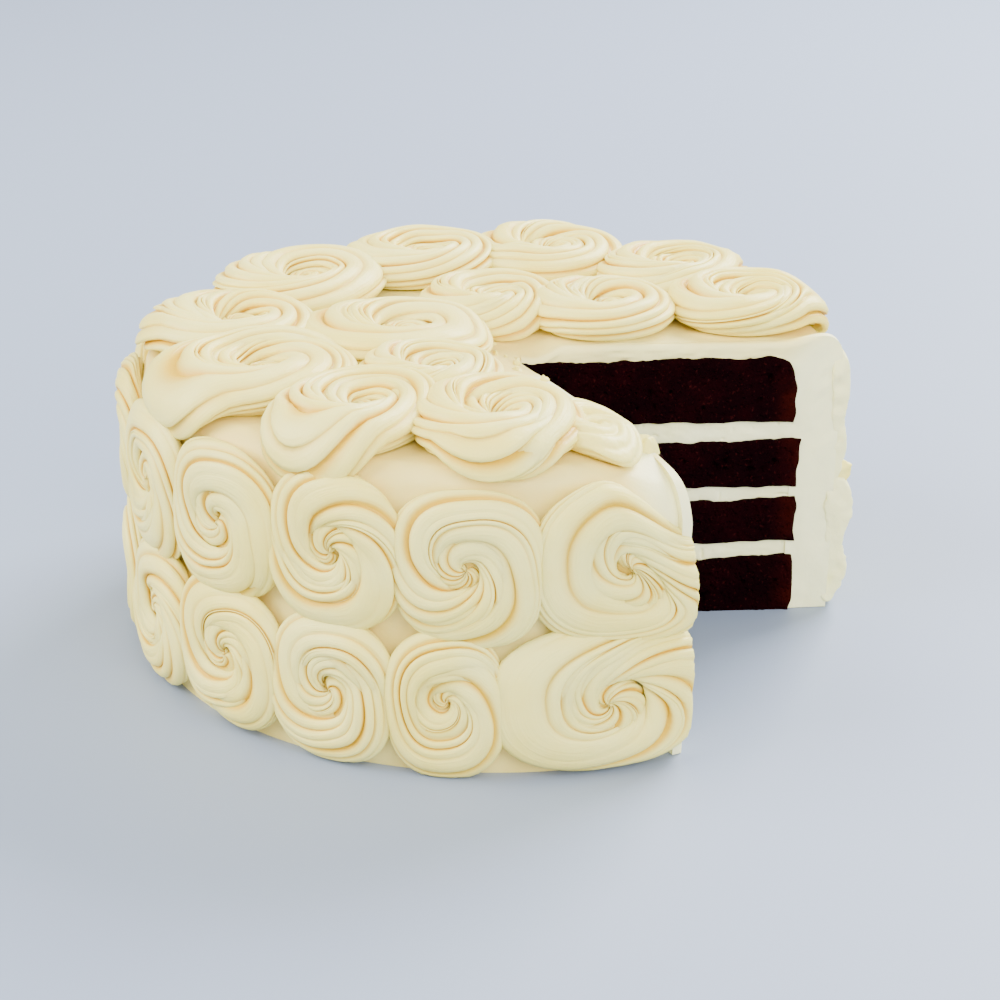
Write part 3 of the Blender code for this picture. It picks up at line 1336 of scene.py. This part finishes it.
@dataclass
class Coat:
    """The icing spread over the side and the top, open inside where the layers are."""

    radius: float = 0.107
    top: float = 0.0909
    rounding: float = 0.006
    inner: float = 0.0978
    step_at: float = 0.0651
    inner_top: float = 0.0958
    under: float = 0.0856
    corner: float = 0.0083
    soft: float = 0.0020

    def section(self) -> list[tuple[float, float]]:
        """The coat's section, from the middle of its top out, down, and back inside.

        Returns:
            The distance from the axis and the height of each point.
        """
        points = [(0.0, self.top)]
        points += [(out, self.top) for out in np.linspace(0.004, self.radius - self.rounding, 26)]
        for turn in np.linspace(80.0, 10.0, 6):
            bend = math.radians(turn)
            points.append((self.radius - self.rounding * (1.0 - math.cos(bend)),
                           self.top - self.rounding * (1.0 - math.sin(bend))))
        points += [(self.radius, up) for up in np.linspace(self.top - self.rounding, 0.0, 26)]
        points += [(self.inner, 0.0), (self.inner, self.step_at), (self.inner_top, self.step_at)]
        for turn in np.linspace(0.0, 90.0, 8):
            bend = math.radians(turn)
            points.append((self.inner_top - self.corner * (1.0 - math.cos(bend)),
                           self.under - self.corner * (1.0 - math.sin(bend))))
        points.append((0.0, self.under))
        return points

    def shell(self) -> bpy.types.Object:
        """Turns the section round the middle and takes the slice out.

        Returns:
            The shell.
        """
        section = self.section()
        deselect_all()
        bpy.ops.mesh.primitive_circle_add(vertices=len(section), radius=1.0)
        shell = bpy.context.object
        put(shell, np.array([(out, 0.0, up) for out, up in section]))
        edit_all(shell)
        bpy.ops.mesh.spin(steps=200, angle=math.tau, center=(0.0, 0.0, 0.0), axis=(0.0, 0.0, 1.0))
        bpy.ops.mesh.select_all(action="SELECT")
        bpy.ops.mesh.remove_doubles(threshold=1e-6)
        bpy.ops.mesh.delete_loose(use_verts=True, use_edges=True, use_faces=False)
        bpy.ops.mesh.select_all(action="SELECT")
        bpy.ops.mesh.normals_make_consistent(inside=False)
        leave_edit()
        KNIFE.take_slice(shell, 0.0016)
        points = places(shell)
        out = np.hypot(points[:, 0], points[:, 1])
        side = (out > self.radius - 0.001) & (points[:, 2] > 0.001)
        upper = points[:, 2] > self.top - 0.001
        spread = lumps(points * np.array([1.0, 1.0, 2.0]), 0.022, 3.0)
        spread = 0.0006 * spread + 0.0003 * lumps(points, 0.007, 5.0)
        points[:, :2] *= (1.0 + np.where(side, spread, 0.0) / self.radius)[:, None]
        points[:, 2] += np.where(upper, spread, 0.0)
        put(shell, points)
        apart = -KNIFE.beyond(points, KNIFE.near)
        near = (apart > -0.004) & (points @ KNIFE.along(KNIFE.near) > 0.02)
        mark(shell, "cut", np.where(near, 0.9 * (1.0 - smooth(apart, 0.004, 0.022)), 0.0))
        return shell

    def band(self, share: np.ndarray, depth: np.ndarray,
             length: float) -> tuple[np.ndarray, np.ndarray]:
        """Follows the coat's band in a cut face, from the tip out and down.

        Args:
            share: how far along the band, from 0 to 1.
            depth: how far under the coat's outside.
            length: how long the cut is.

        Returns:
            The distances from the slice's tip and the heights.
        """
        bend = np.maximum(self.rounding - depth * 0.2, 0.002)
        flat = length - depth - bend
        corner = bend * math.pi / 2.0
        way = share * (flat + corner + self.top - depth - bend)
        turn = np.clip((way - flat) / bend, 0.0, math.pi / 2.0)
        down = np.maximum(way - flat - corner, 0.0)
        along = np.minimum(way, flat) + bend * np.sin(turn)
        return along, self.top - depth - bend * (1.0 - np.cos(turn)) - down

    def skin(self, face: Face) -> bpy.types.Object:
        """Makes the smeared skin of the coat's band on one cut face.

        Args:
            face: which cut face.

        Returns:
            The skin.
        """
        panel = CutPanel(face, fine=(330, 24), proud=-0.0001, thick=0.003)
        slab, share, front = panel.sheet()
        length = panel.length(self.radius)
        run = length + self.top
        went = share[:, 0] * run
        seed = 40.0 + face.value

        reach = self.band(share[:, 0], np.zeros_like(went), length)[0]
        wall = smooth(reach, length - 0.016, length - 0.001)
        gap = (self.top - self.under) * (1.0 - wall) + (self.radius - self.inner_top) * wall
        over = smooth(share[:, 1], 0.72, 1.0) * math.pi / 2.0 * (1.0 - wall)
        depth = np.where(share[:, 1] > 0.72, self.soft * (1.0 - np.sin(over)),
                         self.soft + (0.72 - share[:, 1]) / 0.72 * (gap + 0.0008 - self.soft))
        depth = depth - 0.0045 * wall * smooth(share[:, 1], 0.5, 1.0)
        along, up = self.band(share[:, 0], depth, length)
        up = np.maximum(up, 0.0002)
        strip = np.stack([went, share[:, 1] * 0.006, np.full_like(went, seed)], axis=1)
        smear = strip * np.array([0.35, 1.0, 1.0])
        relief = 0.0004 * lumps(smear, 0.0035, seed + 2.0)
        relief = relief + 0.0002 * lumps(smear, 0.0012, seed + 3.0)
        relief = relief + 0.0003 * lumps(strip, 0.015, seed + 4.0)
        relief = relief - self.soft * (1.0 - np.cos(over))
        mark(slab, "cut", (1.0 - smooth(over, 0.8, 1.5)) * (0.35 + 0.65 * wall))
        panel.stand(slab, along, up, front, relief)
        return slab

    def build(self, larder: Larder) -> None:
        """Spreads the coat.

        Args:
            larder: the finishes.
        """
        shell = self.shell()
        whole = join([shell] + [self.skin(face) for face in Face])
        put(whole, slump(places(whole)))
        shade_smooth(whole, 60.0)
        hand_over(whole, "icing_coat", larder.coat, ("coat",))


@dataclass(frozen=True)
class Lick:
    """A small torn peak of icing, pulled up by the knife or left by the nozzle."""

    place: tuple[float, float, float]
    towards: tuple[float, float, float]
    length: float
    width: float
    seed: float

    def shape(self) -> bpy.types.Object:
        """Pulls a ball of icing out into a peak.

        Returns:
            The peak, in its place.
        """
        deselect_all()
        bpy.ops.mesh.primitive_ico_sphere_add(subdivisions=4, radius=1.0)
        lick = bpy.context.object
        points = places(lick)
        rough = 0.28 * lumps(points, 0.9, self.seed) + 0.12 * lumps(points, 0.4, self.seed + 2.0)
        points *= (1.0 + rough)[:, None]
        pulled = smooth(points[:, 2], -0.3, 1.1)
        points[:, :2] *= (1.0 - 0.40 * pulled)[:, None]
        points[:, 0] += 0.35 * pulled ** 2
        points *= np.array([self.width, self.width * 0.7, self.length])
        turn = Vector(self.towards).to_track_quat("Z", "X").to_matrix()
        put(lick, points @ np.array(turn).T + np.array(self.place))
        shade_smooth(lick)
        mark(lick, "hollow_shade", np.zeros(len(points)))
        mark(lick, "lay", points * 300.0)
        return lick


@dataclass
class TornIcing:
    """The torn bits of icing: along the near cut's top, round the tip, and at the far cut."""

    top: float = 0.0900
    far_lip: Lick = Lick((0.1092, 0.0112, 0.0452), (1.0, -0.1, 0.0), 0.0070, 0.0058, 6.0)
    near_lump: Lick = Lick((0.0435, -0.0762, 0.0900), (0.5, -0.5, 0.7), 0.0050, 0.0055, 9.0)

    def peaks(self) -> list[Lick]:
        """The peaks along the near cut.

        Returns:
            Each peak, from behind the tip out to the rim.
        """
        near = KNIFE.along(KNIFE.near)
        out = KNIFE.out_of(KNIFE.near)
        tip = np.array([*KNIFE.tip, 0.0])
        made = []
        for number in range(17):
            along = -0.010 + 0.0042 * number + 0.0012 * math.sin(number * 2.1)
            apart = 0.0024 + 0.0020 * (1.0 + math.sin(number * 1.7))
            size = 0.0013 + 0.0006 * math.sin(number * 2.9)
            place = tip + near * along - out * apart
            place[2] = self.top + size * 0.2
            lean = near * math.sin(number * 1.3) + out * 0.8 * math.cos(number * 2.2)
            lean[2] = 0.7
            length = size * (1.25 if number < 5 else 0.85)
            made.append(Lick(tuple(place), tuple(lean), length, size * 1.3, 3.0 + number))
        return made

    def build(self, larder: Larder) -> None:
        """Sets the torn bits in place as one piece.

        Args:
            larder: the finishes.
        """
        whole = join([lick.shape() for lick in [*self.peaks(), self.near_lump, self.far_lip]])
        put(whole, slump(places(whole)))
        hand_over(whole, "torn_icing", larder.rose)


# ---------------------------------------------------------------------------
# The cake
# ---------------------------------------------------------------------------


@dataclass
class Cake:
    """The whole cake: sponges and fillings, the coat, and the roses."""

    levels: tuple[float, ...] = (0.0, 0.0168, 0.0240, 0.0367, 0.0429, 0.0566, 0.0648, 0.0853)
    tin: float = 0.0975
    top_sponge: float = 0.0955
    top_rounding: float = 0.008
    rope: Rope = field(default_factory=Rope)
    bed: RoseBed = field(default_factory=RoseBed)

    def stack(self, larder: Larder) -> None:
        """Stacks the sponges and fillings.

        Args:
            larder: the finishes.
        """
        for number in range(4):
            low, high = self.levels[number * 2:number * 2 + 2]
            top = number == 3
            sponge = Sponge(f"sponge_{number + 1}", low + (0.0002 if number else 0.0), high,
                            self.top_sponge if top else self.tin,
                            self.top_rounding if top else 0.0, seed=11.0 * number + 2.0,
                            lip=(0.0019, 0.0024, 0.0027, 0.0012)[number])
            sponge.build(larder)
        for number in range(3):
            low, high = self.levels[number * 2 + 1:number * 2 + 3]
            filling = Filling(f"filling_{number + 1}", low, high, self.tin, seed=7.0 * number + 5.0)
            filling.build(larder)

    def pipe(self, larder: Larder) -> None:
        """Pipes all the roses.

        Args:
            larder: the finishes.
        """
        bar = self.rope.press()
        lower = SideRow(
            "lower", 0.0240, 0.0015, 0.0455,
            (-55.5, -87.8, -104.0, -122.3, -142.5, -162.5),
            (
                Swirl(1.0, start=200.0, twist=5.6, lean=0.7, lean_at=10.0, depth=0.42,
                      eye=(-0.06, -0.06)),
                Swirl(2.0, start=300.0, turns=3.0, twist=2.2, lean=0.5, lean_at=60.0, depth=0.34,
                      eye=(0.02, 0.08), lift=-0.5),
                Swirl(3.0, start=150.0, twist=3.6, lean_at=200.0, depth=0.38),
                Swirl(4.0, start=40.0, twist=4.2, lean_at=120.0, lift=0.5),
                Swirl(5.0, start=250.0, turns=2.5, twist=4.8, lean_at=20.0),
            ),
        )
        upper = SideRow(
            "upper", 0.0645, 0.0425, 0.0880,
            (-55.5, -82.6, -103.0, -122.5, -143.0, -163.5),
            (
                Swirl(6.0, start=205.0, twist=5.4, lean=0.7, lean_at=10.0, depth=0.42,
                      eye=(-0.03, 0.06), lift=-0.9, sprawl=1.35),
                Swirl(7.0, start=20.0, twist=5.0, lean=0.6, lean_at=230.0, depth=0.40,
                      eye=(-0.02, 0.02), lift=-1.4),
                Swirl(8.0, start=320.0, twist=5.2, lean_at=60.0, depth=0.38, lift=0.2),
                Swirl(9.0, start=100.0, twist=3.2, lean_at=180.0, lift=-0.2),
                Swirl(10.0, start=10.0, turns=2.8, twist=4.0, lean_at=300.0),
            ),
            end_tall=0.72,
        )
        lower.build(self.rope, bar, self.bed, larder)
        upper.build(self.rope, bar, self.bed, larder)
        # how far out each rose sits, its azimuth, its size, and how far it spreads in and out
        outer = (
            (0.0830, -70.5, 0.0104, 1.9), (0.0805, -88.5, 0.0190, 1.45),
            (0.0830, -116.5, 0.0176, 1.68), (0.0810, -148.0, 0.0212, 1.45),
            (0.0800, -179.0, 0.0216, 1.18), (0.0775, -216.0, 0.0240, 1.02),
            (0.0780, -251.0, 0.0218, 1.10), (0.0830, -282.0, 0.0205, 1.17),
            (0.0855, -314.0, 0.0185, 1.33), (0.0855, -339.4, 0.0185, 1.33),
        )
        inner = (
            (0.041, 34.0, 0.0175), (0.027, 92.0, 0.0175), (0.030, -170.0, 0.0215),
            (0.046, -113.0, 0.0165),
        )
        top = TopRoses(
            outer=tuple(
                (out, azimuth, size * 1.04,
                 Swirl(20.0 + number * 1.3, start=77.0 * number % 360.0, dome=0.66,
                       twist=3.6 + 1.2 * math.sin(number * 2.0), lean_at=140.0 * number,
                       tall=0.72 if number == 0 else 1.06, least=0.42,
                       sprawl=sprawl, depth=0.42))
                for number, (out, azimuth, size, sprawl) in enumerate(outer)),
            inner=tuple(
                (out, azimuth, size * 1.04,
                 Swirl(40.0 + number * 1.7, start=(100.0 + 111.0 * number) % 360.0, dome=0.66,
                       twist=3.8 + math.sin(number * 2.4), lean_at=90.0 * number, depth=0.42,
                       least=0.42, sprawl=1.32))
                for number, (out, azimuth, size) in enumerate(inner)),
        )
        top.build(self.rope, bar, self.bed, larder)
        bpy.data.objects.remove(bar)

    def build(self, larder: Larder) -> None:
        """Builds the whole cake.

        Args:
            larder: the finishes.
        """
        self.stack(larder)
        Coat().build(larder)
        self.pipe(larder)
        TornIcing().build(larder)


# ---------------------------------------------------------------------------
# The studio
# ---------------------------------------------------------------------------


@dataclass(frozen=True)
class SoftLight:
    """A large soft lamp that faces the cake."""

    name: str
    place: tuple[float, float, float]
    size: float
    power: float
    colour: Colour

    def hang(self) -> None:
        """Hangs the lamp."""
        deselect_all()
        bpy.ops.object.light_add(type="AREA", location=self.place)
        lamp = bpy.context.object
        lamp.name = self.name
        lamp.data.shape = "SQUARE"
        lamp.data.size = self.size
        lamp.data.energy = self.power
        lamp.data.color = self.colour
        aim = Vector((0.0, 0.0, 0.05)) - Vector(self.place)
        lamp.rotation_euler = aim.to_track_quat("-Z", "Y").to_euler()


@dataclass
class Studio:
    """The pale floor, the soft lamps and the camera."""

    floor_colour: Colour = (0.27, 0.33, 0.46)
    sky: Colour = (1.0, 0.99, 0.97)
    sky_strength: float = 0.90
    eye: tuple[float, float, float] = (0.003, -0.703, 0.328)
    pitch: float = 22.34
    roll: float = 0.0132
    lens: float = 86.4

    def lay_floor(self) -> None:
        """Lays the plain floor."""
        deselect_all()
        bpy.ops.mesh.primitive_plane_add(size=12.0, location=(0.0, 3.0, 0.0))
        floor = bpy.context.object
        floor.name = "floor"
        paint = bpy.data.materials.new("floor_paint")
        paint.use_nodes = True
        principled = paint.node_tree.nodes["Principled BSDF"]
        principled.inputs["Base Color"].default_value = (*self.floor_colour, 1.0)
        principled.inputs["Roughness"].default_value = 0.55
        floor.data.materials.append(paint)

    def light(self) -> None:
        """Hangs the lamps and lights the room."""
        SoftLight("window", (0.9, 1.1, 1.1), 1.0, 94.0, (1.0, 1.0, 1.0)).hang()
        SoftLight("left", (-1.3, -0.3, 0.9), 1.2, 52.0, (1.0, 0.97, 0.90)).hang()
        SoftLight("front", (0.4, -1.5, 1.2), 1.4, 36.0, (1.0, 0.98, 0.94)).hang()
        SoftLight("right", (1.5, -1.3, 0.7), 1.2, 30.0, (1.0, 1.0, 1.0)).hang()
        world = bpy.data.worlds.new("room")
        bpy.context.scene.world = world
        world.use_nodes = True
        background = world.node_tree.nodes["Background"]
        background.inputs["Color"].default_value = (*self.sky, 1.0)
        background.inputs["Strength"].default_value = self.sky_strength

    def place_camera(self) -> None:
        """Puts the camera in front of the cake, looking down at it."""
        data = bpy.data.cameras.new("camera")
        data.lens = self.lens
        data.sensor_width = 36.0
        data.clip_end = 30.0
        camera = bpy.data.objects.new("camera", data)
        bpy.context.scene.collection.objects.link(camera)
        turned = Matrix.Rotation(math.radians(90.0 - self.pitch), 4, "X")
        turned = turned @ Matrix.Rotation(self.roll, 4, "Z")
        camera.matrix_world = Matrix.Translation(self.eye) @ turned
        bpy.context.scene.camera = camera

    def set_up(self) -> None:
        """Sets up the whole studio."""
        self.lay_floor()
        self.light()
        self.place_camera()


def main() -> None:
    """Builds the studio and the cake."""
    logging.basicConfig(level=logging.INFO, format="%(message)s")
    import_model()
    Studio().set_up()
    Cake().build(Larder.stocked())


if __name__ == "__main__":
    main()
